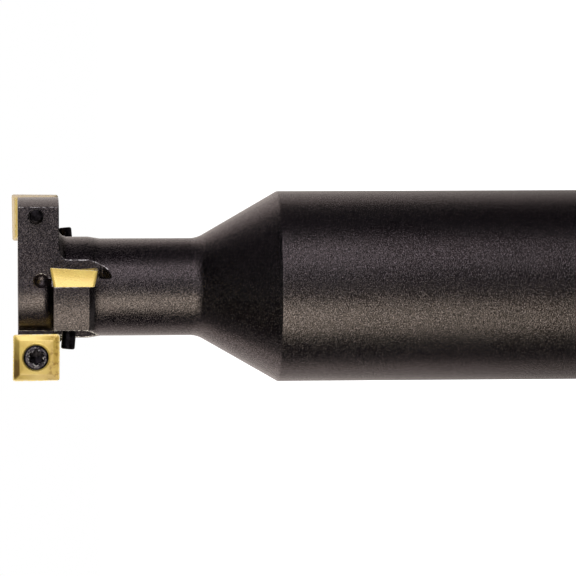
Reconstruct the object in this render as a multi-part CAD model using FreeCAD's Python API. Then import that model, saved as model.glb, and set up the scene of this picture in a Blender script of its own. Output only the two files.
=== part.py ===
import FreeCAD, Part
import math
import os

# Indexable T-slot cutter, in millimetres.
# The tool stands on the end of its shank: Z runs up its axis to the cutting head,
# and the origin is at the centre of the shank end.
# Depths into the head are measured down from its front cutting plane.
# Each tooth is built pointing along +X with its rake face towards +Y, then turned
# about the axis to its place.

Vector = FreeCAD.Vector
AXIS = Vector(0, 0, 1)

# Shank, cone and neck
shank_diameter = 40.0
shank_length = 70.0
shank_chamfer = 1.5
cone_length = 17.0
neck_diameter = 20.4
neck_length = 20.9
centre_hole_diameter = 4.0
centre_hole_depth = 7.0
centre_hole_mouth = 8.5
centre_mouth_angle = 60.0
drill_point_angle = 118.0

# Cutting head
cutting_diameter = 40.0
cutting_width = 17.6
face_relief = 1.2
rear_relief = 1.8
outer_relief = 1.1
core_step = 1.1
hub_step = 0.4
hub_runout = 2.4
core_fillet = 1.4
gullet_clearance = 0.7
front_arm_backing = 0.6
rear_arm_backing = 0.1
front_arm_fillet = 1.8
rear_arm_front_fillet = 2.3
rear_arm_back_bevel = 1.0
ledge_height = 1.8
pocket_clearance = 0.03
gullet_mill_radius = 6.0
front_gullet_length = 14.6
rear_gullet_length = 17.2
relief_ball_radius = 1.6
relief_depth = 1.0
relief_rise = 1.3
relief_setback = 1.7
face_hole_diameter = 2.5
face_hole_depth = 4.5
face_hole_mouth = 5.3

# Square cutting inserts, which sit on the plane of the axis
insert_side = 9.9
insert_thickness = 4.0
insert_clearance_angle = 11.0
insert_corner_bevel = 0.4
insert_edge_drop = 0.65
groove_width = 1.5
groove_depth = 0.9
insert_hole_diameter = 4.4

# Countersunk insert screws with a six-lobe socket
screw_length = 16.0
thread_diameter = 3.5
pilot_diameter = 2.85
pilot_length = 4.3
pilot_chamfer = 0.45
head_diameter = 5.2
head_land = 0.3
head_angle = 60.0
head_sink = 0.1
socket_diameter = 3.3
socket_waist = 2.4
socket_flat_angle = 14.0
socket_depth = 1.5
rear_screw_tilt = 5.0
head_clearance = 0.06
thread_clearance = 0.04

# Sizes that follow from the ones above
overall_length = shank_length + cone_length + neck_length + cutting_width
shank_radius = shank_diameter / 2
neck_radius = neck_diameter / 2
core_radius = neck_radius - core_step
hub_radius = neck_radius + hub_step
arm_radius = cutting_diameter / 2 - outer_relief
flank_slope = math.tan(math.radians(insert_clearance_angle))
flank_inset = insert_thickness * flank_slope
insert_reach = math.sqrt((cutting_diameter / 2) ** 2 - insert_thickness ** 2)
insert_middle = insert_reach - insert_side / 2
insert_base = insert_side - 2 * flank_inset
insert_floor = insert_thickness - groove_depth
arm_thickness = insert_reach - insert_side - gullet_clearance
front_arm_end = insert_side - flank_inset + front_arm_backing
rear_insert_front = cutting_width - insert_side
rear_arm_start = rear_insert_front + flank_inset - rear_arm_backing
rear_arm_end = cutting_width - rear_relief
head_slope = math.tan(math.radians(head_angle / 2))
head_depth = head_land + (head_diameter - thread_diameter) / 2 / head_slope
clear_of_all = cutting_diameter


class Tooth:
    """One cutting position: where its insert sits and what the head is like round it."""

    def __init__(self, name, angle, insert_front, gullet_length, screw_tilt):
        self.name = name
        self.angle = angle
        self.insert_front = insert_front
        self.gullet_length = gullet_length
        self.screw_tilt = screw_tilt

    def turned(self, shape):
        """The shape, moved from the +X direction to this tooth's own."""
        placed = shape.copy()
        placed.rotate(Vector(0, 0, 0), AXIS, self.angle)
        return placed

    def middle(self):
        """Centre of the insert's seat."""
        return Vector(insert_middle, 0, height(self.insert_front + insert_side / 2))


def height(depth):
    """Height over the shank end of a point at this depth behind the front cutting plane."""
    return overall_length - depth


def within(radius, room):
    """A fillet radius, kept a little smaller than the step or wall that it rounds."""
    return min(radius, 0.95 * abs(room))


def corner_arc(before, corner, after, radius):
    """Start, middle and end of the arc that rounds a corner between two straight runs."""
    back = (before - corner).normalize()
    ahead = (after - corner).normalize()
    half = math.acos(max(-1.0, min(1.0, back.dot(ahead)))) / 2
    tangent = radius / math.tan(half)
    bisector = (back + ahead).normalize()
    middle = corner + bisector * (radius / math.sin(half) - radius)
    return corner + back * tangent, middle, corner + ahead * tangent


def rounded_face(corners, to_space):
    """Flat face through (a, b, radius) corners, which to_space turns into points."""
    points = [to_space(a, b) for a, b, radius in corners]
    ends = []
    for index, point in enumerate(points):
        radius = corners[index][2]
        if radius > 0:
            following = points[(index + 1) % len(points)]
            ends.append(corner_arc(points[index - 1], point, following, radius))
        else:
            ends.append((point, None, point))
    edges = []
    for index, (start, middle, end) in enumerate(ends):
        if middle is not None:
            edges.append(Part.Arc(start, middle, end).toShape())
        next_start = ends[(index + 1) % len(ends)][0]
        if end.distanceToPoint(next_start) > 1e-6:
            edges.append(Part.LineSegment(end, next_start).toShape())
    return Part.Face(Part.Wire(edges))


def turned_solid(corners):
    """Solid of revolution about the axis, from (radius, height, rounding) corners."""
    return rounded_face(corners, lambda r, z: Vector(r, 0, z)).revolve(Vector(0, 0, 0), AXIS, 360)


def side_prism(corners, low, high):
    """Prism with (x, height, rounding) corners that runs along Y from low to high."""
    face = rounded_face(corners, lambda x, z: Vector(x, low, z))
    return face.extrude(Vector(0, high - low, 0))


def end_prism(corners, low, high):
    """Prism with (x, y, rounding) corners that runs along Z from low to high."""
    face = rounded_face(corners, lambda x, y: Vector(x, y, low))
    return face.extrude(Vector(0, 0, high - low))


def centre_hole(end, inward, diameter, depth, mouth):
    """Drilled centre with a conical mouth, from an end face into the tool."""
    direction = AXIS * inward
    mouth_depth = (mouth - diameter) / 2 / math.tan(math.radians(centre_mouth_angle / 2))
    drill = Part.makeCylinder(diameter / 2, depth, Vector(0, 0, end), direction)
    cone = Part.makeCone(mouth / 2, diameter / 2, mouth_depth, Vector(0, 0, end), direction)
    point_depth = diameter / 2 / math.tan(math.radians(drill_point_angle / 2))
    bottom = Vector(0, 0, end) + direction * depth
    point = Part.makeCone(diameter / 2, 0, point_depth, bottom, direction)
    return drill.fuse([cone, point])


def turned_body():
    """Shank, cone, neck, hub and front core, as they come off the lathe."""
    hub_end = height(rear_arm_end)
    hub_start = height(rear_arm_start)
    return turned_solid([
        (0, 0, 0),
        (shank_radius - shank_chamfer, 0, 0),
        (shank_radius, shank_chamfer, 0),
        (shank_radius, shank_length, 0),
        (neck_radius, shank_length + cone_length, 0),
        (neck_radius, hub_end - hub_runout, 0),
        (hub_radius, hub_end, 0),
        (hub_radius, hub_start, 0),
        (core_radius, hub_start, within(core_fillet, hub_radius - core_radius)),
        (core_radius, height(face_relief), 0),
        (0, height(face_relief), 0),
    ])


def pocket_wall(level):
    """Distance from the axis of the wall behind an insert, this high over the seat."""
    base_edge = insert_middle - insert_base / 2
    return base_edge - pocket_clearance - level * flank_slope


def front_arm_disc():
    """The ring of steel that the front arms are milled from, with the fillet behind them."""
    front = height(face_relief)
    back = height(front_arm_end)
    return turned_solid([
        (0, front, 0),
        (arm_radius, front, 0),
        (arm_radius, back, 0),
        (hub_radius, back, front_arm_fillet),
        (hub_radius, back - 2 * front_arm_fillet, 0),
        (0, back - 2 * front_arm_fillet, 0),
    ])


def rear_arm_disc():
    """The ring of steel that the rear arms are milled from: fillet in front, bevel behind."""
    front = height(rear_arm_start)
    back = height(rear_arm_end)
    bevel = rear_arm_back_bevel + hub_step
    return turned_solid([
        (0, front + 2 * rear_arm_front_fillet, 0),
        (core_radius, front + 2 * rear_arm_front_fillet, 0),
        (core_radius, front, rear_arm_front_fillet),
        (arm_radius, front, 0),
        (arm_radius, back, 0),
        (neck_radius + bevel, back, 0),
        (neck_radius, back - bevel, 0),
        (0, back - bevel, 0),
    ])


def arm(tooth, disc):
    """One arm: the part of its ring between the seat and the flat back, with the ledge."""
    section = [
        (0, -arm_thickness, 0),
        (clear_of_all, -arm_thickness, 0),
        (clear_of_all, 0, 0),
        (pocket_wall(0), 0, 0),
        (pocket_wall(ledge_height), ledge_height, 0),
        (0, ledge_height, 0),
    ]
    bar = end_prism(section, height(cutting_width + clear_of_all), height(0))
    return tooth.turned(disc.common(bar))


def gullet(tooth):
    """Chip space ahead of a tooth, with the round end that the end mill leaves."""
    end = height(tooth.gullet_length + gullet_mill_radius)
    front = height(-clear_of_all)
    cut = side_prism([
        (arm_thickness, front, 0),
        (arm_thickness, end, gullet_mill_radius),
        (clear_of_all, end, 0),
        (clear_of_all, front, 0),
    ], ledge_height, clear_of_all)
    return tooth.turned(cut)


def pocket(tooth):
    """Room over the seat for an insert, back to the sloping wall that it rests against."""
    section = [
        (pocket_wall(0), 0, 0),
        (clear_of_all, 0, 0),
        (clear_of_all, ledge_height, 0),
        (pocket_wall(ledge_height), ledge_height, 0),
    ]
    front = height(tooth.insert_front - face_relief)
    back = height(tooth.insert_front + insert_side + face_relief)
    return tooth.turned(end_prism(section, back, front))


def ball_relief(tooth):
    """Small dimple of a ball-ended mill, in the core beside a rear insert's front corner."""
    centre = Vector(arm_thickness + relief_ball_radius - relief_depth,
                    relief_rise, height(tooth.insert_front - relief_setback))
    return tooth.turned(Part.makeSphere(relief_ball_radius, centre))


def insert_outline(side, corner, level):
    """Closed wire of a square with bevelled corners, centred on Z at this level."""
    half = side / 2
    points = []
    for quarter in range(4):
        turn = FreeCAD.Rotation(AXIS, 90 * quarter)
        points.append(turn.multVec(Vector(half, half - corner, level)))
        points.append(turn.multVec(Vector(half - corner, half, level)))
    return Part.makePolygon(points + [points[0]])


def groove_tool():
    """What the press leaves empty over an insert: a level floor inside four twisted facets.

    Each cutting edge falls from one corner to the next, so the facets change slope along
    their length. The tool carries on as far outside the edges as it lies inside them.
    """
    half = insert_side / 2
    inner = half - groove_width
    outer = half + groove_width
    signs = [(1, 1), (-1, 1), (-1, -1), (1, -1)]
    top_level = insert_thickness + groove_depth + 1
    floor_points = []
    rim_points = []
    top_points = []
    for index, (x_sign, y_sign) in enumerate(signs):
        edge_level = insert_thickness - insert_edge_drop * ((index + 1) % 2)
        rim_level = 2 * edge_level - insert_floor
        floor_points.append(Vector(inner * x_sign, inner * y_sign, insert_floor))
        rim_points.append(Vector(outer * x_sign, outer * y_sign, rim_level))
        top_points.append(Vector(outer * x_sign, outer * y_sign, top_level))

    def line(start, end):
        return Part.LineSegment(start, end).toShape()

    def polygon(points):
        return Part.Face(Part.makePolygon(points + [points[0]]))

    faces = [polygon(floor_points), polygon(top_points)]
    for index in range(len(signs)):
        following = (index + 1) % len(signs)
        floor_edge = line(floor_points[index], floor_points[following])
        rim_edge = line(rim_points[index], rim_points[following])
        faces.append(Part.makeRuledSurface(floor_edge, rim_edge))
        faces.append(polygon([rim_points[index], rim_points[following],
                              top_points[following], top_points[index]]))
    shell = Part.makeShell(faces)
    shell.sewShape()
    return solid_facing_out(Part.makeSolid(shell))


def solid_facing_out(solid):
    """The same solid with its faces turned to enclose it."""
    if solid.Volume < 0:
        solid.reverse()
    return solid


def insert_blank():
    """A square insert lying on its seat: flanks, chip groove, countersink and hole."""
    over = insert_thickness + groove_depth
    over_side = insert_base + 2 * over * flank_slope
    base = insert_outline(insert_base, insert_corner_bevel, 0)
    top = insert_outline(over_side, insert_corner_bevel, over)
    block = Part.makeLoft([base, top], True, True)
    block = block.cut(groove_tool())
    hole_radius = insert_hole_diameter / 2
    seat_level = insert_floor - head_sink - head_land
    seat_radius = head_diameter / 2 + head_clearance
    cone_foot = seat_level - (seat_radius - hole_radius) / head_slope
    mouth_level = over
    mouth_radius = seat_radius + (mouth_level - seat_level) * head_slope
    hole = Part.makeCylinder(hole_radius, over)
    countersink = Part.makeCone(hole_radius, mouth_radius, mouth_level - cone_foot,
                                Vector(0, 0, cone_foot))
    return block.cut(hole.fuse(countersink))


def six_lobe(level, depth):
    """Six-lobe socket cut, going down from this level, with flats for its small curves."""
    crest = socket_diameter / 2
    waist = socket_waist / 2
    half_flat = math.radians(socket_flat_angle / 2)
    pitch = math.radians(60)
    points = []
    for lobe in range(6):
        for radius, centre in ((crest, lobe * pitch), (waist, (lobe + 0.5) * pitch)):
            for angle in (centre - half_flat, centre + half_flat):
                points.append(Vector(radius * math.cos(angle), radius * math.sin(angle), level))
    return Part.Face(Part.makePolygon(points + [points[0]])).extrude(Vector(0, 0, -depth))


def screw_blank():
    """An insert screw pointing down, with its head's top in the seat's own heights."""
    top = insert_floor - head_sink
    tip = top - screw_length
    shaft = thread_diameter / 2
    pilot = pilot_diameter / 2
    shaft_end = tip + pilot_length
    body = turned_solid([
        (0, top, 0),
        (head_diameter / 2, top, 0),
        (head_diameter / 2, top - head_land, 0),
        (shaft, top - head_depth, 0),
        (shaft, shaft_end, 0),
        (pilot, shaft_end, 0),
        (pilot, tip + pilot_chamfer, 0),
        (pilot - pilot_chamfer, tip, 0),
        (0, tip, 0),
    ])
    return body.cut(six_lobe(top, socket_depth))


def tapped_hole():
    """Through hole for a screw in the same heights: wide for its thread, narrow for its pilot."""
    shaft_end = insert_floor - head_sink - screw_length + pilot_length
    step = Vector(0, 0, shaft_end - thread_clearance)
    wide = Part.makeCylinder(thread_diameter / 2 + thread_clearance, screw_length, step)
    narrow = Part.makeCylinder(pilot_diameter / 2 + thread_clearance, screw_length, step, -AXIS)
    return wide.fuse(narrow)


def on_seat(shape, tooth):
    """A shape modelled flat over the origin, laid on the tooth's seat.

    Its Z becomes the rake direction and its X stays on the tooth's own.
    """
    placed = shape.copy()
    placed.rotate(Vector(0, 0, 0), Vector(1, 0, 0), -90)
    placed.translate(tooth.middle())
    return tooth.turned(placed)


def leaned(shape, tooth):
    """A screw or its hole, leaning so that its tip is nearer the front of the head.

    It turns about the middle of the screw's head, and rises until the low side of the
    head is level with that of an upright one.
    """
    placed = shape.copy()
    if tooth.screw_tilt > 0:
        pivot = Vector(0, 0, insert_floor - head_sink - head_land)
        placed.rotate(pivot, Vector(-1, 0, 0), tooth.screw_tilt)
        lift = head_diameter / 2 * math.sin(math.radians(tooth.screw_tilt))
        placed.translate(Vector(0, 0, lift))
    return placed


def cutter_body(teeth):
    """The one-piece steel body: turned blank, four arms, gullets, pockets and holes."""
    front_disc = front_arm_disc()
    rear_disc = rear_arm_disc()
    arms = [arm(tooth, rear_disc if tooth.insert_front > 0 else front_disc) for tooth in teeth]
    body = turned_body().fuse(arms)
    cuts = []
    for tooth in teeth:
        cuts.append(gullet(tooth))
        cuts.append(pocket(tooth))
        cuts.append(on_seat(leaned(tapped_hole(), tooth), tooth))
        if tooth.screw_tilt > 0:
            cuts.append(ball_relief(tooth))
    cuts.append(centre_hole(0, 1, centre_hole_diameter, centre_hole_depth, centre_hole_mouth))
    cuts.append(centre_hole(height(face_relief), -1, face_hole_diameter, face_hole_depth,
                            face_hole_mouth))
    for cut in cuts:
        body = body.cut(cut)
    return body.removeSplitter()


TEETH = [
    Tooth("front_a", 180, 0, front_gullet_length, 0),
    Tooth("front_b", 0, 0, front_gullet_length, 0),
    Tooth("rear_a", 270, rear_insert_front, rear_gullet_length, rear_screw_tilt),
    Tooth("rear_b", 90, rear_insert_front, rear_gullet_length, rear_screw_tilt),
]


def main():
    os.makedirs("parts", exist_ok=True)
    nodes = {"cutter_body": cutter_body(TEETH)}
    insert = insert_blank()
    screw = screw_blank()
    for tooth in TEETH:
        nodes["insert_" + tooth.name] = on_seat(insert, tooth)
        nodes["insert_screw_" + tooth.name] = on_seat(leaned(screw, tooth), tooth)
    for name, shape in nodes.items():
        shape.exportStep("parts/" + name + ".step")
        print(name, "volume", round(shape.Volume, 1), "valid", shape.isValid(),
              "solids", len(shape.Solids))


main()
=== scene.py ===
import math

import bmesh
import bpy
from mathutils import Matrix, Vector


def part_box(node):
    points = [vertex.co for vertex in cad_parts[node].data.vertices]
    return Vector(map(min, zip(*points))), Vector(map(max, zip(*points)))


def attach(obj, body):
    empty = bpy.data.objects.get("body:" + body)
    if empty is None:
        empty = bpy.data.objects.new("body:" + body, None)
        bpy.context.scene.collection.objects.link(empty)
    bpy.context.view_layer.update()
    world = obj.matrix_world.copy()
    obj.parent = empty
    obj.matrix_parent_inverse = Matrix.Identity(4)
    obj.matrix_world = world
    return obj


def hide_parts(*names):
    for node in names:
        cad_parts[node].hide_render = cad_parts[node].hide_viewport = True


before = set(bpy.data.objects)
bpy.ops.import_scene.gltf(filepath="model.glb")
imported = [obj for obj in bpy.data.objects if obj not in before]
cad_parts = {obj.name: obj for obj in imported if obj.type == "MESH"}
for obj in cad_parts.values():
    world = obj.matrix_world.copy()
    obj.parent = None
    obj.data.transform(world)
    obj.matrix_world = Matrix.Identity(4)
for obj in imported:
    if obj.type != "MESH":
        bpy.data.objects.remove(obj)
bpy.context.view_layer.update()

bl_info = {
    "name": "Indexable T-slot cutter",
    "version": (1, 0, 0),
    "blender": (4, 5, 0),
    "location": "View3D > Sidebar > Cutter",
    "description": "Dresses a packed T-slot cutter with finished steel, coated inserts and a studio",
    "category": "Object",
}

MM = 0.001

# The four cutting positions: the degrees that each is turned from +X, and the degrees that
# its screw leans.
TEETH = {"front_a": (180, 0), "front_b": (0, 0), "rear_a": (270, 5), "rear_b": (90, 5)}

INSERT_LOW, INSERT_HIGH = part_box("insert_front_a")
SCREW_LOW, SCREW_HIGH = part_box("insert_screw_front_a")

# The chip groove's section: distance in from the land, and the share of the way down from
# the edge's own height to the floor.
GROOVE_PROFILE = [(0.30 * MM, 0.24), (0.65 * MM, 0.53), (1.00 * MM, 0.82), (1.14 * MM, 0.93),
                  (1.30 * MM, 1.00)]
# The height at which the neck runs into the cutting head.
HEAD_START = 107 * MM
# The height from which the end facet of a front insert starts; on the -X insert, the part of it that
# faces -Z gets painted shade, a deep brown.
END_FACET_FROM = INSERT_HIGH.z - 2.2 * MM
# The six-lobe socket: its radius at the lobes and between them, the width of the worn ring
# round its mouth, and its wall from the mouth down, as spread and depth.
SOCKET_CREST = 1.65 * MM
SOCKET_WAIST = 1.2 * MM
SOCKET_RING = 0.31 * MM
SOCKET_WALL = [(0.26 * MM, 0.0), (0.12 * MM, 0.0), (0.03 * MM, 0.07 * MM), (0.0, 0.2 * MM),
               (0.0, 1.5 * MM)]

FLOOR_RADIUS = 4.0
TENT_RADIUS = 0.9
FLOOR_LAMP_PLACE = (-0.4, 0.8, 1.3)
FILL_LAMP_PLACE = (-0.3, -1.6, 1.3)
CAMERA_HEIGHT = 0.1292
CAMERA_TARGET = (-0.00042, 0.0, 0.0676)
CAMERA_ROLL = math.radians(-0.31)


# Settings


class CutterSizes(bpy.types.PropertyGroup):
    """Sizes of the details that the finished pieces have over the plain solids."""

    edge_break: bpy.props.FloatProperty(
        name="Edge break", description="Width of the small bevel on the body's milled edges",
        default=0.16 * MM, min=0.0, unit="LENGTH")
    neck_start: bpy.props.FloatProperty(
        name="Neck start", description="Height at which the cone runs into the neck",
        default=87 * MM, min=0.0, unit="LENGTH")
    neck_blend: bpy.props.FloatProperty(
        name="Neck blend", description="How far the hollow between cone and neck is rounded",
        default=1.3 * MM, min=0.0, unit="LENGTH")
    insert_side: bpy.props.FloatProperty(
        name="Insert side", description="Length of an insert's cutting edges, corners included",
        default=INSERT_HIGH.z - INSERT_LOW.z, min=1 * MM, unit="LENGTH")
    insert_thickness: bpy.props.FloatProperty(
        name="Insert thickness", description="Height of an insert's highest corner over its seat",
        default=INSERT_HIGH.y - INSERT_LOW.y, min=1 * MM, unit="LENGTH")
    clearance_angle: bpy.props.FloatProperty(
        name="Clearance angle", description="Slope of an insert's flanks",
        default=math.radians(11), min=0.0, subtype="ANGLE")
    edge_drop: bpy.props.FloatProperty(
        name="Edge drop", description="How far each cutting edge falls from corner to corner",
        default=0.65 * MM, min=0.0, unit="LENGTH")
    groove_depth: bpy.props.FloatProperty(
        name="Groove depth", description="Depth of the chip groove's floor under the high corners",
        default=0.9 * MM, min=0.1 * MM, unit="LENGTH")
    insert_hole: bpy.props.FloatProperty(
        name="Insert hole", description="Diameter of the hole through an insert",
        default=4.4 * MM, min=1 * MM, unit="LENGTH")
    insert_corner: bpy.props.FloatProperty(
        name="Insert corner", description="Radius of an insert's cutting corners",
        default=0.5 * MM, min=0.1 * MM, unit="LENGTH")
    insert_land: bpy.props.FloatProperty(
        name="Edge land", description="Width of the narrow flat behind an insert's cutting edge",
        default=0.20 * MM, min=0.0, unit="LENGTH")
    insert_hone: bpy.props.FloatProperty(
        name="Edge hone", description="Rounding of an insert's edges",
        default=0.07 * MM, min=0.0, unit="LENGTH")
    screw_length: bpy.props.FloatProperty(
        name="Screw length", description="Length of an insert screw, head included",
        default=SCREW_HIGH.y - SCREW_LOW.y, min=4 * MM, unit="LENGTH")
    head_diameter: bpy.props.FloatProperty(
        name="Head diameter", description="Diameter of a screw's countersunk head",
        default=SCREW_HIGH.z - SCREW_LOW.z, min=2 * MM, unit="LENGTH")
    head_sink: bpy.props.FloatProperty(
        name="Head sink", description="Depth of a screw's head under the floor of the groove",
        default=0.1 * MM, min=0.0, unit="LENGTH")
    head_land: bpy.props.FloatProperty(
        name="Head land", description="Height of the straight rim of a screw's head",
        default=0.3 * MM, min=0.0, unit="LENGTH")
    thread_diameter: bpy.props.FloatProperty(
        name="Thread diameter", description="Outer diameter of the screws' thread",
        default=3.5 * MM, min=1 * MM, unit="LENGTH")
    pilot_diameter: bpy.props.FloatProperty(
        name="Pilot diameter", description="Diameter of the plain end of a screw",
        default=2.85 * MM, min=1 * MM, unit="LENGTH")
    pilot_length: bpy.props.FloatProperty(
        name="Pilot length", description="Length of the plain end of a screw",
        default=4.3 * MM, min=0.0, unit="LENGTH")
    thread_pitch: bpy.props.FloatProperty(
        name="Thread pitch", description="Distance between the screws' thread crests",
        default=0.6 * MM, min=0.2 * MM, unit="LENGTH")
    thread_depth: bpy.props.FloatProperty(
        name="Thread depth", description="Depth of the screws' thread",
        default=0.3 * MM, min=0.0, unit="LENGTH")


class CutterFinishes(bpy.types.PropertyGroup):
    """Colours of the cutter's three finishes."""

    black_oxide: bpy.props.FloatVectorProperty(
        name="Black oxide", description="Colour of the blackened steel body",
        subtype="COLOR", size=4, min=0.0, max=1.0, default=(0.105, 0.092, 0.097, 1.0))
    gold_coating: bpy.props.FloatVectorProperty(
        name="Gold coating", description="Colour of the nitride coating on the inserts",
        subtype="COLOR", size=4, min=0.0, max=1.0, default=(0.84, 0.605, 0.145, 1.0))
    screw_black: bpy.props.FloatVectorProperty(
        name="Screw black", description="Colour of the blackened insert screws",
        subtype="COLOR", size=4, min=0.0, max=1.0, default=(0.060, 0.052, 0.060, 1.0))


class StudioSettings(bpy.types.PropertyGroup):
    """The camera, lamps and floor that the cutter is shown with."""

    lens: bpy.props.FloatProperty(
        name="Lens", description="Focal length in millimetres", default=244.3, min=20.0)
    distance: bpy.props.FloatProperty(
        name="Camera distance", description="Distance of the camera from the tool's axis",
        default=0.82, min=0.1, unit="LENGTH")
    warm_lamp: bpy.props.FloatProperty(
        name="Warm panel", description="Brightness of the light panel on the -X side",
        default=2.6, min=0.0)
    cool_lamp: bpy.props.FloatProperty(
        name="Cool panel", description="Brightness of the light panel on the +X side",
        default=1.3, min=0.0)
    gap_light: bpy.props.FloatProperty(
        name="Gap light", description="Brightness of the cloth between the two panels",
        default=0.40, min=0.0)
    floor_light: bpy.props.FloatProperty(
        name="Floor light", description="Brightness of the floor where polished steel shows it",
        default=0.22, min=0.0)
    floor_lamp: bpy.props.FloatProperty(
        name="Floor lamp", description="Power of the lamp that casts the tool's shadow",
        default=8.0, min=0.0, unit="POWER")
    fill_lamp: bpy.props.FloatProperty(
        name="Fill lamp", description="Power of the lamp over the camera, without a shadow",
        default=45.0, min=0.0, unit="POWER")
    room: bpy.props.FloatProperty(
        name="Room light", description="Brightness of the dim room round the tool",
        default=0.065, min=0.0)


# Materials


class Value:
    """A shader socket that can be used in arithmetic."""

    def __init__(self, finish, socket):
        self.finish = finish
        self.socket = socket

    def combine(self, operation, first, second):
        return self.finish.add("ShaderNodeMath", {"operation": operation}, {0: first, 1: second})

    def __add__(self, other):
        return self.combine("ADD", self, other)

    def __sub__(self, other):
        return self.combine("SUBTRACT", self, other)

    def __rsub__(self, other):
        return self.combine("SUBTRACT", other, self)

    def __mul__(self, other):
        return self.combine("MULTIPLY", self, other)

    __radd__ = __add__


class Finish:
    """A material while its nodes are laid out."""

    def __init__(self, name):
        self.material = bpy.data.materials.new(name)
        self.material.use_nodes = True
        self.tree = self.material.node_tree
        self.tree.nodes.clear()

    def add(self, kind, settings=None, sockets=None, output=0):
        """Adds a node, gives it its settings and then its sockets, and returns one output."""
        node = self.tree.nodes.new(kind)
        for name, setting in (settings or {}).items():
            if name == "stops":
                ramp = node.color_ramp
                while len(ramp.elements) < len(setting):
                    ramp.elements.new(0.5)
                for element, (place, colour) in zip(ramp.elements, setting):
                    element.position = place
                    element.color = colour
            else:
                setattr(node, name, setting)
        for name, given in (sockets or {}).items():
            if isinstance(given, Value):
                self.tree.links.new(given.socket, node.inputs[name])
            else:
                node.inputs[name].default_value = given
        return Value(self, node.outputs[output]) if len(node.outputs) else None

    def place(self, stretch=(1.0, 1.0, 1.0)):
        """Coordinates on the piece, in metres, stretched along its axes."""
        coordinates = self.add("ShaderNodeTexCoord", output="Object")
        return self.add("ShaderNodeMapping", None, {"Vector": coordinates, "Scale": stretch})

    def noise(self, place, scale, detail=2.0, roughness=0.5):
        return self.add("ShaderNodeTexNoise", None, {
            "Vector": place, "Scale": scale, "Detail": detail, "Roughness": roughness})

    def stepped(self, source, low, high):
        """The source as a mask that goes from 0 at low to 1 at high, smoothly."""
        return self.add("ShaderNodeMapRange", {"interpolation_type": "SMOOTHSTEP"}, {
            "Value": source, "From Min": low, "From Max": high})

    def tinted(self, mask, first, second):
        """First colour where the mask is 0, second where it is 1."""
        return self.add("ShaderNodeMix", {"data_type": "RGBA"}, {0: mask, 6: first, 7: second},
                        output=2)

    def surface(self, sockets):
        """Closes the material with a surface shader that these sockets feed."""
        shader = self.add("ShaderNodeBsdfPrincipled", None, sockets)
        self.add("ShaderNodeOutputMaterial", None, {"Surface": shader})
        return self.material

    def bump(self, height, distance):
        return self.add("ShaderNodeBump", None, {
            "Height": height, "Distance": distance, "Strength": 1.0})


def shade(colour, factor, warmth=0.0):
    """A colour made lighter or darker, and a little warmer or cooler."""
    red, green, blue, alpha = colour
    return (min(1.0, red * factor * (1 + warmth)), min(1.0, green * factor),
            min(1.0, blue * factor * (1 - warmth)), alpha)


def black_oxide_steel(name, colour, wear=0.0):
    """Blackened steel with a fine grain, coarser on the shank, and worn bare in places."""
    finish = Finish(name)
    place = finish.place()
    grain = finish.noise(place, 3700.0, 1.0, 0.6)
    sparkle = finish.stepped(finish.noise(place, 4500.0, 1.0), 0.49, 0.68)
    cloud = finish.noise(place, 90.0, 3.0, 0.55)
    tone = finish.stepped(grain * 0.85 + cloud * 0.15, 0.38, 0.62)
    base = finish.tinted(tone, shade(colour, 0.42), shade(colour, 1.18, 0.03))
    base = finish.tinted(sparkle * 0.48, base, shade(colour, 2.7))
    height = finish.add("ShaderNodeSeparateXYZ", None, {0: place}, output=2)
    coarse = 1 - finish.stepped(height, HEAD_START - 6 * MM, HEAD_START + 4 * MM)
    pits = finish.stepped(finish.noise(place, 3900.0, 1.0), 0.50, 0.66)
    glints = finish.stepped(finish.noise(place, 4200.0, 1.0), 0.56, 0.70)
    base = finish.tinted(pits * coarse * 0.42, base, shade(colour, 0.22))
    base = finish.tinted(glints * coarse * 0.48, base, shade(colour, 2.7))
    if wear > 0:
        worn = finish.stepped(finish.noise(place, 1500.0, 2.0), 0.56 - wear / 4, 0.62)
        base = finish.tinted(worn * wear, base, (0.75, 0.73, 0.72, 1.0))
    return finish.surface({
        "Base Color": base,
        "Metallic": 1.0,
        "Roughness": 0.20 + tone * 0.06 - sparkle * 0.02,
        "Normal": finish.bump(grain + sparkle * 0.5, 0.036 * MM),
    })


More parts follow.
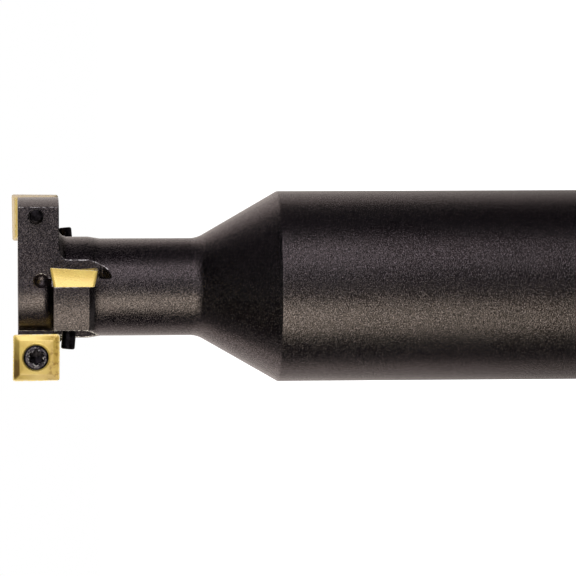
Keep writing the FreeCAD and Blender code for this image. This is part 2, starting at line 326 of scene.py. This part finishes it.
def gold_coated_carbide(name, colour):
    """Gold nitride over pressed carbide: satin and cloudy; on the -X insert, burnt, darker and
    browner towards the shank, and with painted shade on its end facet where it faces -Z.
    """
    finish = Finish(name)
    place = finish.place()
    cloud = finish.stepped(finish.noise(place, 420.0, 3.0, 0.55), 0.35, 0.68)
    grain = finish.noise(place, 4200.0, 2.0, 0.6)
    across, rise = [finish.add("ShaderNodeSeparateXYZ", None, {0: place}, output=axis)
                    for axis in (0, 2)]
    facing = finish.add("ShaderNodeSeparateXYZ", None, {
        0: finish.add("ShaderNodeNewGeometry", output="Normal")}, output=2)
    used = finish.stepped(0 - across, 8 * MM, 11 * MM)
    # Painted shade: on the -X insert, the end facet where it faces -Z is darkened to a deep brown
    # and loses most of its coat.
    shaded_facet = (used * finish.stepped(rise, END_FACET_FROM, END_FACET_FROM + 0.2 * MM)
              * finish.stepped(0 - facing, 0.06, 0.45))
    # Towards the shank, the -X insert is tinted darker and browner; its burnt blotches lie in the
    # same part.
    shank_end = used * (1 - finish.stepped(rise, END_FACET_FROM - 6.2 * MM, END_FACET_FROM - 3.5 * MM))
    burnt = shank_end * finish.stepped(finish.noise(place, 900.0, 4.0, 0.65), 0.50, 0.62)
    base = finish.tinted(cloud, shade(colour, 0.92, 0.03), shade(colour, 1.06, -0.03))
    base = finish.tinted(shank_end * 0.5, base, shade(colour, 0.60, 0.12))
    base = finish.tinted(shaded_facet * (0.95 - cloud * 0.25), base, shade(colour, 0.16, 0.30))
    base = finish.tinted(burnt * 0.8, base, shade(colour, 0.35, 0.30))
    return finish.surface({
        "Base Color": base,
        "Metallic": 0.5,
        "Roughness": 0.40 + cloud * 0.06 + grain * 0.08,
        "Coat Weight": 1.0 - shaded_facet * 0.9 - burnt * 0.3,
        "Coat Roughness": 0.25,
        "Coat IOR": 1.9,
        "Normal": finish.bump(grain - burnt * 0.3, 0.006 * MM),
    })


def carbide_edge_highlight(name, colour):
    """The narrow honed edge of an insert, where the coating is thin: painted pale cream as a
    highlight along the cutting edges.
    """
    finish = Finish(name)
    grain = finish.noise(finish.place(), 2600.0, 2.0, 0.6)
    base = finish.tinted(finish.stepped(grain, 0.40, 0.62), shade(colour, 1.0, -0.03),
                         (0.82, 0.70, 0.46, 1.0))
    return finish.surface({
        "Base Color": base,
        "Metallic": 0.15,
        "Roughness": 0.34 + grain * 0.1,
        "Coat Weight": 1.0,
        "Coat Roughness": 0.25,
        "Coat IOR": 1.9,
    })


def blackened_screw_steel(name, colour, wear=0.0):
    """Oil-blackened screw steel, with bright specks where a key or a burr has worn it; on the
    socket's rim these specks are painted glints as well.
    """
    finish = Finish(name)
    place = finish.place()
    grain = finish.noise(place, 3000.0, 2.0, 0.6)
    smear = finish.stepped(finish.noise(place, 1400.0, 3.0, 0.6), 0.36, 0.66)
    base = finish.tinted(smear, shade(colour, 0.4), shade(colour, 1.8, -0.03))
    if wear > 0:
        worn = finish.stepped(finish.noise(place, 2000.0, 1.0), 0.58 - wear / 12, 0.60)
        base = finish.tinted(worn * wear, base, (0.95, 0.93, 0.91, 1.0))
    return finish.surface({
        "Base Color": base,
        "Metallic": 1.0,
        "Roughness": 0.30 + smear * 0.10 + grain * 0.06,
        "Normal": finish.bump(grain, 0.012 * MM),
    })


# Modelling helpers


def deselect():
    if bpy.context.object and bpy.context.object.mode != "OBJECT":
        bpy.ops.object.mode_set(mode="OBJECT")
    bpy.ops.object.select_all(action="DESELECT")


def make_active(piece):
    deselect()
    bpy.context.view_layer.objects.active = piece
    piece.select_set(True)


def edit(piece):
    """Opens a piece in edit mode with nothing selected."""
    make_active(piece)
    bpy.ops.object.mode_set(mode="EDIT")
    bpy.ops.mesh.select_all(action="DESELECT")


def pick(piece, kind, test):
    """Selects the faces, edges or vertices that pass the test, and nothing else."""
    bpy.ops.mesh.select_mode(type=kind)
    shape = bmesh.from_edit_mesh(piece.data)
    parts = {"FACE": shape.faces, "EDGE": shape.edges, "VERT": shape.verts}[kind]
    for vertex in shape.verts:
        vertex.select_set(False)
    shape.select_flush(False)
    for part in [part for part in parts if test(part)]:
        part.select_set(True)
    bmesh.update_edit_mesh(piece.data)


def move_picked(piece, place):
    """Moves each selected vertex to the place that a function of its own place gives."""
    shape = bmesh.from_edit_mesh(piece.data)
    for vertex in shape.verts:
        if vertex.select:
            vertex.co = place(vertex.co)
    bmesh.update_edit_mesh(piece.data)


def grow(rise, factor=1.0):
    """Pulls a new ring out of the selected faces: up by the rise, and scaled about its middle."""
    bpy.ops.mesh.extrude_region_move(TRANSFORM_OT_translate={"value": (0, 0, rise)})
    if factor != 1.0:
        bpy.ops.transform.resize(value=(factor, factor, 1))


def round_ring(piece, radius, height):
    """Pulls a round ring of this radius, at this height, out of the selected face."""
    grow(0)
    move_picked(piece, lambda co: Vector((*(co.xy.normalized() * radius), height)))


def six_lobed(co, spread, height):
    """The point of a six-lobe outline that lies in the same direction from the axis."""
    angle = math.atan2(co.y, co.x)
    middle, swing = (SOCKET_CREST + SOCKET_WAIST) / 2, (SOCKET_CREST - SOCKET_WAIST) / 2
    radius = middle + swing * math.cos(6 * angle) + spread
    return Vector((radius * math.cos(angle), radius * math.sin(angle), height))


def leaning(edge, rise):
    """Whether an edge climbs by more than this."""
    return abs(edge.verts[0].co.z - edge.verts[1].co.z) > rise


def leave():
    bpy.ops.object.mode_set(mode="OBJECT")


def modify(piece, kind, **settings):
    """Adds a modifier with these settings and applies it."""
    make_active(piece)
    modifier = piece.modifiers.new(kind.title(), kind)
    for name, setting in settings.items():
        setattr(modifier, name, setting)
    bpy.ops.object.modifier_apply(modifier=modifier.name)


def smooth(piece, angle):
    make_active(piece)
    bpy.ops.object.shade_smooth_by_angle(angle=math.radians(angle))


def settle(piece):
    """Puts a piece's place into its mesh, so that its object sits at the origin."""
    make_active(piece)
    bpy.ops.object.transform_apply(location=True, rotation=True, scale=True)


def paint(piece, materials):
    """Gives a piece its materials, in the order of their numbers on its faces."""
    piece.data.materials.clear()
    for material in materials:
        piece.data.materials.append(material)


def finish_piece(piece, name):
    piece.name = name
    piece.data.name = name
    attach(piece, "root")


def duplicate(piece, matrix):
    """A copy with its own mesh, moved by this matrix."""
    copy = bpy.data.objects.new(piece.name, piece.data.copy())
    bpy.context.scene.collection.objects.link(copy)
    copy.data.transform(matrix)
    return copy


def seat_matrix(tooth):
    """Takes a piece that was modelled flat, with its seat at height 0, to a tooth's seat."""
    turn = Matrix.Rotation(math.radians(TEETH[tooth][0]), 4, "Z")
    back = turn.inverted()
    low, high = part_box("insert_" + tooth)
    corners = [back @ low, back @ high]
    reach = sum(corner.x for corner in corners) / 2
    height = sum(corner.z for corner in corners) / 2
    return turn @ Matrix.Translation((reach, 0, height)) @ Matrix.Rotation(math.radians(-90), 4, "X")


# Pieces


class CUTTER_OT_body(bpy.types.Operator):
    """Makes the finished steel body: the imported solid, cleaned, with its edges broken"""

    bl_idname = "cutter.body"
    bl_label = "Make the body"

    def execute(self, context):
        sizes = context.scene.cutter_sizes
        finishes = context.scene.cutter_finishes
        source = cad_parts["cutter_body"]
        body = duplicate(source, Matrix.Identity(4))
        # The third copy, darkened to about a fifth, is painted shade for the far ends of the rear
        # gullets.
        paint(body, [black_oxide_steel("Black oxide steel", finishes.black_oxide),
                     black_oxide_steel("Worn black oxide", finishes.black_oxide, 0.85),
                     black_oxide_steel("Gullet end painted shade", shade(finishes.black_oxide, 0.22))])
        edit(body)
        bpy.ops.mesh.select_mode(type="VERT")
        bpy.ops.mesh.select_all(action="SELECT")
        bpy.ops.mesh.remove_doubles(threshold=0.002 * MM)
        bpy.ops.mesh.dissolve_limited(angle_limit=math.radians(0.4))
        pick(body, "EDGE", lambda edge: all(abs(vertex.co.z - sizes.neck_start) < 0.1 * MM
                                            for vertex in edge.verts))
        bpy.ops.mesh.bevel(offset=sizes.neck_blend, segments=5, affect="EDGES")
        leave()
        modify(body, "BEVEL", width=sizes.edge_break, segments=2, limit_method="ANGLE",
               angle_limit=math.radians(28), use_clamp_overlap=False, miter_outer="MITER_ARC",
               material=1, harden_normals=False)
        smooth(body, 28)
        modify(body, "WEIGHTED_NORMAL", keep_sharp=True, weight=100)
        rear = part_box("insert_rear_a")[0].z
        worn_from = sizes.neck_start + 5 * MM
        for face in body.data.polygons:
            # Faces at the run-out of a rear gullet take the darkened copy: painted shade in that
            # recess.
            if self.in_gullet_end(face.center, rear) and face.normal.z > -0.05:
                face.material_index = 2
            elif abs(face.normal.z) > 0.2 or face.center.z < worn_from:
                face.material_index = 0
        finish_piece(body, "finished_body")
        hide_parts("cutter_body")
        return {"FINISHED"}

    def in_gullet_end(self, place, rear):
        """Whether a place lies behind a rear insert, where its gullet runs out of the hub."""
        length, half_width, inner, outer = 3 * MM, 3.4 * MM, 8.8 * MM, 10.3 * MM
        return (rear - length < place.z < rear and abs(place.x) < half_width
                and inner < abs(place.y) < outer and place.x * place.y < 0)


class CUTTER_OT_inserts(bpy.types.Operator):
    """Makes one square insert with a smooth chip groove, and copies it to the four seats"""

    bl_idname = "cutter.inserts"
    bl_label = "Make the inserts"

    def execute(self, context):
        sizes = context.scene.cutter_sizes
        colour = context.scene.cutter_finishes.gold_coating
        finishes = [gold_coated_carbide("Gold coated carbide", colour),
                    carbide_edge_highlight("Honed edge painted highlight", colour)]
        blank = self.blank(sizes, finishes)
        for tooth in TEETH:
            insert = duplicate(blank, seat_matrix(tooth))
            smooth(insert, 40)
            finish_piece(insert, "finished_insert_" + tooth)
            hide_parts("insert_" + tooth)
        bpy.data.objects.remove(blank)
        return {"FINISHED"}

    def blank(self, sizes, finishes):
        """The insert lying flat, with its seat at height 0 and its chip groove up."""
        side, thickness = sizes.insert_side, sizes.insert_thickness
        deselect()
        bpy.ops.mesh.primitive_cube_add(size=1, location=(0, 0, thickness / 2),
                                        scale=(side, side, thickness))
        insert = bpy.context.object
        paint(insert, finishes)
        settle(insert)
        edit(insert)
        base = 1 - 2 * thickness * math.tan(sizes.clearance_angle) / side
        pick(insert, "FACE", lambda face: face.normal.z < -0.9)
        bpy.ops.transform.resize(value=(base, base, 1))
        pick(insert, "EDGE", lambda edge: leaning(edge, 2 * MM))
        bpy.ops.mesh.bevel(offset=sizes.insert_corner, segments=6, affect="EDGES")
        pick(insert, "EDGE", lambda edge: edge.calc_length() > 5 * MM)
        bpy.ops.mesh.subdivide(number_cuts=13)
        pick(insert, "FACE", lambda face: face.normal.z > 0.9 and len(face.verts) > 8)
        self.press_groove(insert, sizes)
        pick(insert, "FACE", lambda face: face.normal.z < -0.9 and len(face.verts) > 8)
        round_ring(insert, sizes.insert_hole / 2, 0)
        pick(insert, "FACE", lambda face: abs(face.normal.z) > 0.9 and len(face.verts) > 8)
        bpy.ops.mesh.delete(type="FACE")
        pick(insert, "EDGE", lambda edge: edge.is_boundary)
        bpy.ops.mesh.bridge_edge_loops()
        leave()
        # The land and the hone take the pale edge copy: a painted highlight along the cutting edges.
        land_start = side / 2 - sizes.insert_land - 0.12 * MM
        for face in insert.data.polygons:
            reach = max(abs(face.center.x), abs(face.center.y))
            if face.normal.z > 0.5 and reach > land_start:
                face.material_index = 1
        modify(insert, "BEVEL", width=sizes.insert_hone, segments=2, limit_method="ANGLE",
               angle_limit=math.radians(50), material=1)
        return insert

    def press_groove(self, insert, sizes):
        """Sinks the selected top between falling edges, down to a floor and a countersink."""
        side, thickness, land = sizes.insert_side, sizes.insert_thickness, sizes.insert_land
        floor = thickness - sizes.groove_depth

        def edge_height(co, scale):
            across = 4 * co.x * co.y / (side * scale) ** 2
            return thickness - sizes.edge_drop * (1 + max(-1, min(1, across))) / 2

        def lowered(co):
            height = edge_height(co, 1.0)
            inward = 1 - 2 * (thickness - height) * math.tan(sizes.clearance_angle) / side
            return Vector((co.x * inward, co.y * inward, height))

        move_picked(insert, lowered)
        scale = 1 - 2 * land / side
        grow(0, scale)
        for inward, sunk in GROOVE_PROFILE:
            following = 1 - 2 * (land + inward) / side
            grow(0, following / scale)
            scale = following
            move_picked(insert, lambda co: Vector((
                co.x, co.y, edge_height(co, scale) * (1 - sunk) + floor * sunk)))
        slope = math.tan(math.radians(30))
        seat = floor - sizes.head_sink - sizes.head_land
        seat_radius = sizes.head_diameter / 2 + 0.06 * MM
        mouth = seat_radius + (floor - seat) * slope
        round_ring(insert, mouth + 0.16 * MM, floor)
        round_ring(insert, mouth + 0.05 * MM, floor - 0.03 * MM)
        round_ring(insert, mouth - 0.05 * MM, floor - 0.12 * MM)
        round_ring(insert, sizes.insert_hole / 2,
                   seat - (seat_radius - sizes.insert_hole / 2) / slope)


class CUTTER_OT_screws(bpy.types.Operator):
    """Makes one countersunk screw with a six-lobe socket, and copies it into the four inserts"""

    bl_idname = "cutter.screws"
    bl_label = "Make the insert screws"

    def execute(self, context):
        sizes = context.scene.cutter_sizes
        colour = context.scene.cutter_finishes.screw_black
        # The socket's mouth and walls use darker copies than the head's flat top: painted shade in
        # the socket, and the mouth's bright specks are wear and painted glints.
        finishes = [blackened_screw_steel("Screw steel and socket shade", shade(colour, 0.35)),
                    blackened_screw_steel("Screw head", shade(colour, 2.5), 0.35),
                    blackened_screw_steel("Socket rim wear, shade and glints", shade(colour, 0.5), 1.0)]
        blank = self.blank(sizes, finishes)
        pivot = Vector((0, 0, sizes.insert_thickness - sizes.groove_depth - sizes.head_sink
                        - sizes.head_land))
        for tooth in TEETH:
            lean = math.radians(TEETH[tooth][1])
            lift = Vector((0, 0, sizes.head_diameter / 2 * math.sin(lean)))
            leaned = (Matrix.Translation(pivot + lift) @ Matrix.Rotation(-lean, 4, "X")
                      @ Matrix.Translation(-pivot))
            screw = duplicate(blank, seat_matrix(tooth) @ leaned)
            smooth(screw, 35)
            finish_piece(screw, "finished_screw_" + tooth)
            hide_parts("insert_screw_" + tooth)
        bpy.data.objects.remove(blank)
        return {"FINISHED"}

    def blank(self, sizes, finishes):
        """The screw standing on its tip, with its head's top in the seat's own heights."""
        top = sizes.insert_thickness - sizes.groove_depth - sizes.head_sink
        tip = top - sizes.screw_length
        head, shaft, pilot = (sizes.head_diameter / 2, sizes.thread_diameter / 2,
                              sizes.pilot_diameter / 2)
        cone = (head - shaft) / math.tan(math.radians(30))
        chamfer, rim, rim_drop = 0.45 * MM, 0.38 * MM, 0.14 * MM
        deselect()
        bpy.ops.mesh.primitive_circle_add(vertices=72, radius=pilot - chamfer, fill_type="NGON",
                                          location=(0, 0, tip))
        screw = bpy.context.object
        paint(screw, finishes)
        settle(screw)
        edit(screw)
        bpy.ops.mesh.select_mode(type="FACE")
        bpy.ops.mesh.select_all(action="SELECT")
        height, radius = 0.0, pilot - chamfer
        for step in (15, 30, 45, 60, 75, 90):
            rise = chamfer * (1 - math.cos(math.radians(step)))
            reach = pilot - chamfer * (1 - math.sin(math.radians(step)))
            grow(rise - height, reach / radius)
            height, radius = rise, reach
        grow(sizes.pilot_length - chamfer)
        grow(0, shaft / pilot)
        grow(sizes.screw_length - sizes.pilot_length - sizes.head_land - cone)
        grow(cone, head / shaft)
        grow(sizes.head_land - rim_drop)
        grow(rim_drop, (head - rim) / head)
        round_ring(screw, SOCKET_CREST + SOCKET_RING, top)
        self.socket(screw, top)
        bpy.ops.mesh.select_all(action="SELECT")
        bpy.ops.mesh.normals_make_consistent(inside=False)
        pick(screw, "EDGE", lambda edge: leaning(edge, 7 * MM))
        bpy.ops.mesh.subdivide(number_cuts=8 * round((sizes.screw_length - sizes.pilot_length)
                                                     / sizes.thread_pitch))
        self.thread(screw, sizes, tip + sizes.pilot_length, top - sizes.head_land - cone)
        leave()
        # The head's flat top gets the lighter copy and the socket's mouth its own; the socket's
        # deeper walls keep the darkest copy, which is painted shade there.
        for face in screw.data.polygons:
            reach = face.center.xy.length
            if face.center.z > top - 0.21 * MM and SOCKET_WAIST < reach < head - rim:
                outline = six_lobed(face.center, 0.25 * MM, 0).xy.length
                face.material_index = 1 if reach > outline else 2
        return screw

    def socket(self, screw, top):
        """Sinks a six-lobe socket with a rounded mouth and a conical bottom."""
        for spread, sink in SOCKET_WALL:
            grow(0)
            move_picked(screw, lambda co: six_lobed(co, spread, top - sink))
        round_ring(screw, SOCKET_WAIST * 0.8, top - 1.55 * MM)
        round_ring(screw, 0.15 * MM, top - 1.9 * MM)

    def thread(self, screw, sizes, start, end):
        """Winds the thread into the subdivided part of the shaft, fading at both ends."""
        fade = sizes.thread_pitch
        margin = 0.01 * MM
        pick(screw, "VERT", lambda vertex: start + margin < vertex.co.z < end - margin
             and vertex.co.xy.length > sizes.pilot_diameter / 2 + margin)

        def wound(co):
            turn = math.atan2(co.y, co.x) / (2 * math.pi)
            phase = (co.z / sizes.thread_pitch - turn) % 1.0
            # A V-shaped groove with a narrow flat on its crest and a wider one on its root.
            groove = max(0.0, min(1.0, 1.35 * (1 - abs(2 * phase - 1)) - 0.1))
            edge = max(0.0, min(1.0, min(co.z - start, end - co.z) / fade))
            radius = sizes.thread_diameter / 2 - sizes.thread_depth * groove * edge
            flat = co.xy.normalized() * radius
            return Vector((flat.x, flat.y, co.z))

        move_picked(screw, wound)


class CUTTER_OT_stage(bpy.types.Operator):
    """Sets up the floor, the room, the light tent, the lamps and the camera"""

    bl_idname = "cutter.stage"
    bl_label = "Set the stage"

    def execute(self, context):
        studio = context.scene.cutter_studio
        self.world(context, studio)
        self.floor()
        self.light_tent(studio)
        self.lamp("Floor lamp", FLOOR_LAMP_PLACE, studio.floor_lamp, True)
        self.lamp("Fill lamp", FILL_LAMP_PLACE, studio.fill_lamp, False)
        self.camera(context, studio)
        context.scene.view_settings.view_transform = "Standard"
        return {"FINISHED"}

    def lamp(self, name, place, power, shadow):
        """A round lamp for matt surfaces alone, as the tent gives metal all that it mirrors."""
        lamp = bpy.data.lights.new(name, "AREA")
        lamp.shape = "DISK"
        lamp.size = 0.5
        lamp.energy = power
        lamp.use_shadow = shadow
        holder = bpy.data.objects.new(name, lamp)
        holder.location = place
        holder.rotation_euler = (-holder.location).to_track_quat("-Z", "Y").to_euler()
        holder.visible_camera = False
        holder.visible_glossy = False
        bpy.context.scene.collection.objects.link(holder)

    def world(self, context, studio):
        """White where the camera, metal or glass sees it, and a dim room otherwise."""
        world = bpy.data.worlds.new("Studio room")
        context.scene.world = world
        world.use_nodes = True
        nodes, links = world.node_tree.nodes, world.node_tree.links
        nodes.clear()
        path = nodes.new("ShaderNodeLightPath")
        seen = [nodes.new("ShaderNodeMath") for _ in range(2)]
        for node in seen:
            node.operation = "MAXIMUM"
        dim = nodes.new("ShaderNodeBackground")
        white = nodes.new("ShaderNodeBackground")
        for node, strength in ((dim, studio.room), (white, 1.0)):
            node.inputs["Color"].default_value = (1, 1, 1, 1)
            node.inputs["Strength"].default_value = strength
        mix = nodes.new("ShaderNodeMixShader")
        output = nodes.new("ShaderNodeOutputWorld")
        links.new(path.outputs["Is Camera Ray"], seen[0].inputs[0])
        links.new(path.outputs["Is Glossy Ray"], seen[0].inputs[1])
        links.new(seen[0].outputs[0], seen[1].inputs[0])
        links.new(path.outputs["Is Transmission Ray"], seen[1].inputs[1])
        links.new(seen[1].outputs[0], mix.inputs[0])
        links.new(dim.outputs[0], mix.inputs[1])
        links.new(white.outputs[0], mix.inputs[2])
        links.new(mix.outputs[0], output.inputs[0])

    def floor(self):
        """A pale floor that reads white to the camera but keeps the tool's shadow."""
        deselect()
        bpy.ops.mesh.primitive_circle_add(vertices=96, radius=FLOOR_RADIUS, fill_type="NGON")
        floor = bpy.context.object
        floor.name = "floor"
        finish = Finish("Studio floor")
        seen = (finish.add("ShaderNodeLightPath", output="Is Camera Ray")
                + finish.add("ShaderNodeLightPath", output="Is Glossy Ray")
                + finish.add("ShaderNodeLightPath", output="Is Transmission Ray"))
        away = finish.add("ShaderNodeVectorMath", {"operation": "LENGTH"},
                          {0: finish.place()}, output="Value")
        tone = finish.tinted(finish.stepped(away, 0.05, 0.30), (0.8, 0.8, 0.8, 1.0),
                             (1.0, 1.0, 1.0, 1.0))
        pale = finish.add("ShaderNodeBsdfDiffuse", None, {"Color": (0.8, 0.8, 0.8, 1.0)})
        glow = finish.add("ShaderNodeEmission", None, {"Color": tone, "Strength": 1.0})
        lit = finish.add("ShaderNodeAddShader", None, {0: pale, 1: glow})
        both = finish.add("ShaderNodeMixShader", None, {0: seen, 1: pale, 2: lit})
        finish.add("ShaderNodeOutputMaterial", None, {"Surface": both})
        floor.data.materials.append(finish.material)
        floor.visible_glossy = False

    def light_tent(self, studio):
        """A dark tent with two tall light panels in front, which only reflections show."""
        deselect()
        bpy.ops.mesh.primitive_uv_sphere_add(segments=64, ring_count=32, radius=TENT_RADIUS,
                                             location=(0, 0, 0.1))
        tent = bpy.context.object
        tent.name = "light_tent"
        tent.data.materials.append(self.panel_light(studio))
        tent.visible_camera = False
        tent.visible_diffuse = False
        tent.visible_transmission = False
        tent.visible_shadow = False

    def panel_light(self, studio):
        """Light by bearing round the tool: warm and cool panels, dark sides, white behind."""
        finish = Finish("Panel light")
        place = finish.place()
        across, along, rise = [
            finish.add("ShaderNodeSeparateXYZ", None, {0: place}, output=axis)
            for axis in range(3)]
        bearing = across.combine("ARCTAN2", across, 0 - along)

        def window(low, high, blur):
            low, high, blur = math.radians(low), math.radians(high), math.radians(blur)
            return (finish.stepped(bearing, low - blur, low + blur)
                    - finish.stepped(bearing, high - blur, high + blur))

        level = finish.stepped(rise, -0.42, 0.08)
        reach = level - finish.stepped(rise, 0.26, 0.46)
        warm = window(-57, -20.5, 7) * reach * studio.warm_lamp
        cool = window(20, 56, 8) * reach * studio.cool_lamp
        gap = (window(-20.5, 20, 6) * studio.gap_light
               * (finish.stepped(rise, -0.24, 0.10) - finish.stepped(rise, 0.48, 0.66)))
        under = 1 - finish.stepped(rise, 0.45, 0.70)
        behind = (1 - window(-106, 121, 5)) * (level * 0.75 + 0.1) * under
        dim = level * under * studio.room
        below = (1 - finish.stepped(rise, -0.80, -0.50)) * studio.floor_light
        shades = [warm * red + cool * blue + gap + behind * rear + dim * room + below
                  for red, blue, rear, room in ((1.0, 1.0, 1.02, 1.0), (0.94, 0.95, 0.92, 0.9),
                                                (0.76, 0.98, 0.84, 1.1))]
        colour = finish.add("ShaderNodeCombineColor", None,
                            dict(zip(("Red", "Green", "Blue"), shades)))
        glow = finish.add("ShaderNodeEmission", None, {"Color": colour, "Strength": 1.0})
        finish.add("ShaderNodeOutputMaterial", None, {"Surface": glow})
        return finish.material

    def camera(self, context, studio):
        """Looks at the tool lying across the picture, its head to the left."""
        lens = bpy.data.cameras.new("Camera")
        lens.lens = studio.lens
        lens.sensor_width = 36.0
        lens.clip_start = 0.01
        camera = bpy.data.objects.new("Camera", lens)
        place = Vector((0.0, -studio.distance, CAMERA_HEIGHT))
        forward = (Vector(CAMERA_TARGET) - place).normalized()
        right = forward.cross(Vector((1, 0, 0))).normalized()
        up = right.cross(forward)
        turned = Matrix((right, up, -forward)).transposed().to_4x4()
        roll = Matrix.Rotation(CAMERA_ROLL, 4, "Z")
        camera.matrix_world = Matrix.Translation(place) @ turned @ roll
        context.scene.collection.objects.link(camera)
        context.scene.camera = camera


class CUTTER_PT_panel(bpy.types.Panel):
    """Lists the steps that dress the cutter, in order"""

    bl_label = "T-slot cutter"
    bl_idname = "CUTTER_PT_panel"
    bl_space_type = "VIEW_3D"
    bl_region_type = "UI"
    bl_category = "Cutter"

    def draw(self, context):
        for step in STEPS:
            self.layout.operator(step.bl_idname)
        for name in ("cutter_sizes", "cutter_finishes", "cutter_studio"):
            settings = getattr(context.scene, name)
            box = self.layout.box()
            for setting in settings.bl_rna.properties:
                if setting.identifier not in ("rna_type", "name"):
                    box.prop(settings, setting.identifier)


STEPS = (CUTTER_OT_body, CUTTER_OT_inserts, CUTTER_OT_screws, CUTTER_OT_stage)
GROUPS = {"cutter_sizes": CutterSizes, "cutter_finishes": CutterFinishes,
          "cutter_studio": StudioSettings}


def register():
    for item in (*GROUPS.values(), *STEPS, CUTTER_PT_panel):
        bpy.utils.register_class(item)
    for name, group in GROUPS.items():
        setattr(bpy.types.Scene, name, bpy.props.PointerProperty(type=group))


def unregister():
    for name in GROUPS:
        delattr(bpy.types.Scene, name)
    for item in (CUTTER_PT_panel, *reversed(STEPS), *reversed(GROUPS.values())):
        bpy.utils.unregister_class(item)


def main():
    register()
    bpy.ops.cutter.body()
    bpy.ops.cutter.inserts()
    bpy.ops.cutter.screws()
    bpy.ops.cutter.stage()


if __name__ == "__main__":
    main()
